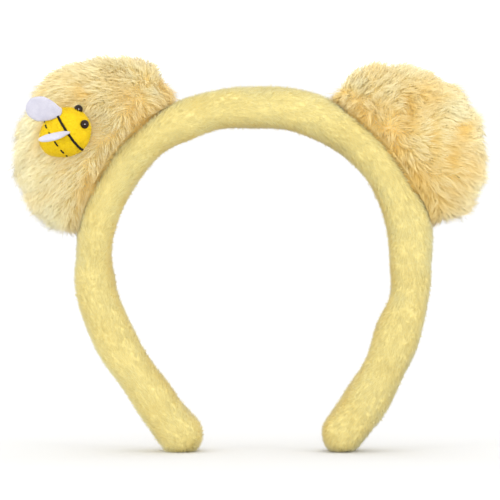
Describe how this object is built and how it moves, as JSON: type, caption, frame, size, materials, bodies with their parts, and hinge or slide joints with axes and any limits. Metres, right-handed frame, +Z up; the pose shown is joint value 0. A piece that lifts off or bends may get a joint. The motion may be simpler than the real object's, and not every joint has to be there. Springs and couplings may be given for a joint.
{
  "type": "bear ears headband",
  "caption": "Padded plush headband with round furry bear ears and a small plush bee on the front of one ear, standing on its ends.",
  "frame": {"origin": "on the floor that the two ends stand on, under the middle of the whole headband's box", "axes": "+Z up, +X to the right as seen from the front, and the front with the bee faces -Y"},
  "size_m": [0.2202, 0.0676, 0.1847],
  "materials": {
    "band_plush": "short pale yellow plush",
    "ear_fur": "long soft peach-yellow fur",
    "bee_fleece": "bright yellow fleece with dark stitched stripes",
    "bee_wing": "pale lilac-white felt",
    "bee_eye": "polished near-black bead"
  },
  "bodies": {
    "root": {"band": "band_plush", "ear_left": "ear_fur", "ear_right": "ear_fur", "bee_body": "bee_fleece", "bee_eye_left": "bee_eye", "bee_eye_right": "bee_eye", "bee_wing_left": "bee_wing", "bee_wing_right": "bee_wing"}
  },
  "joints": []
}
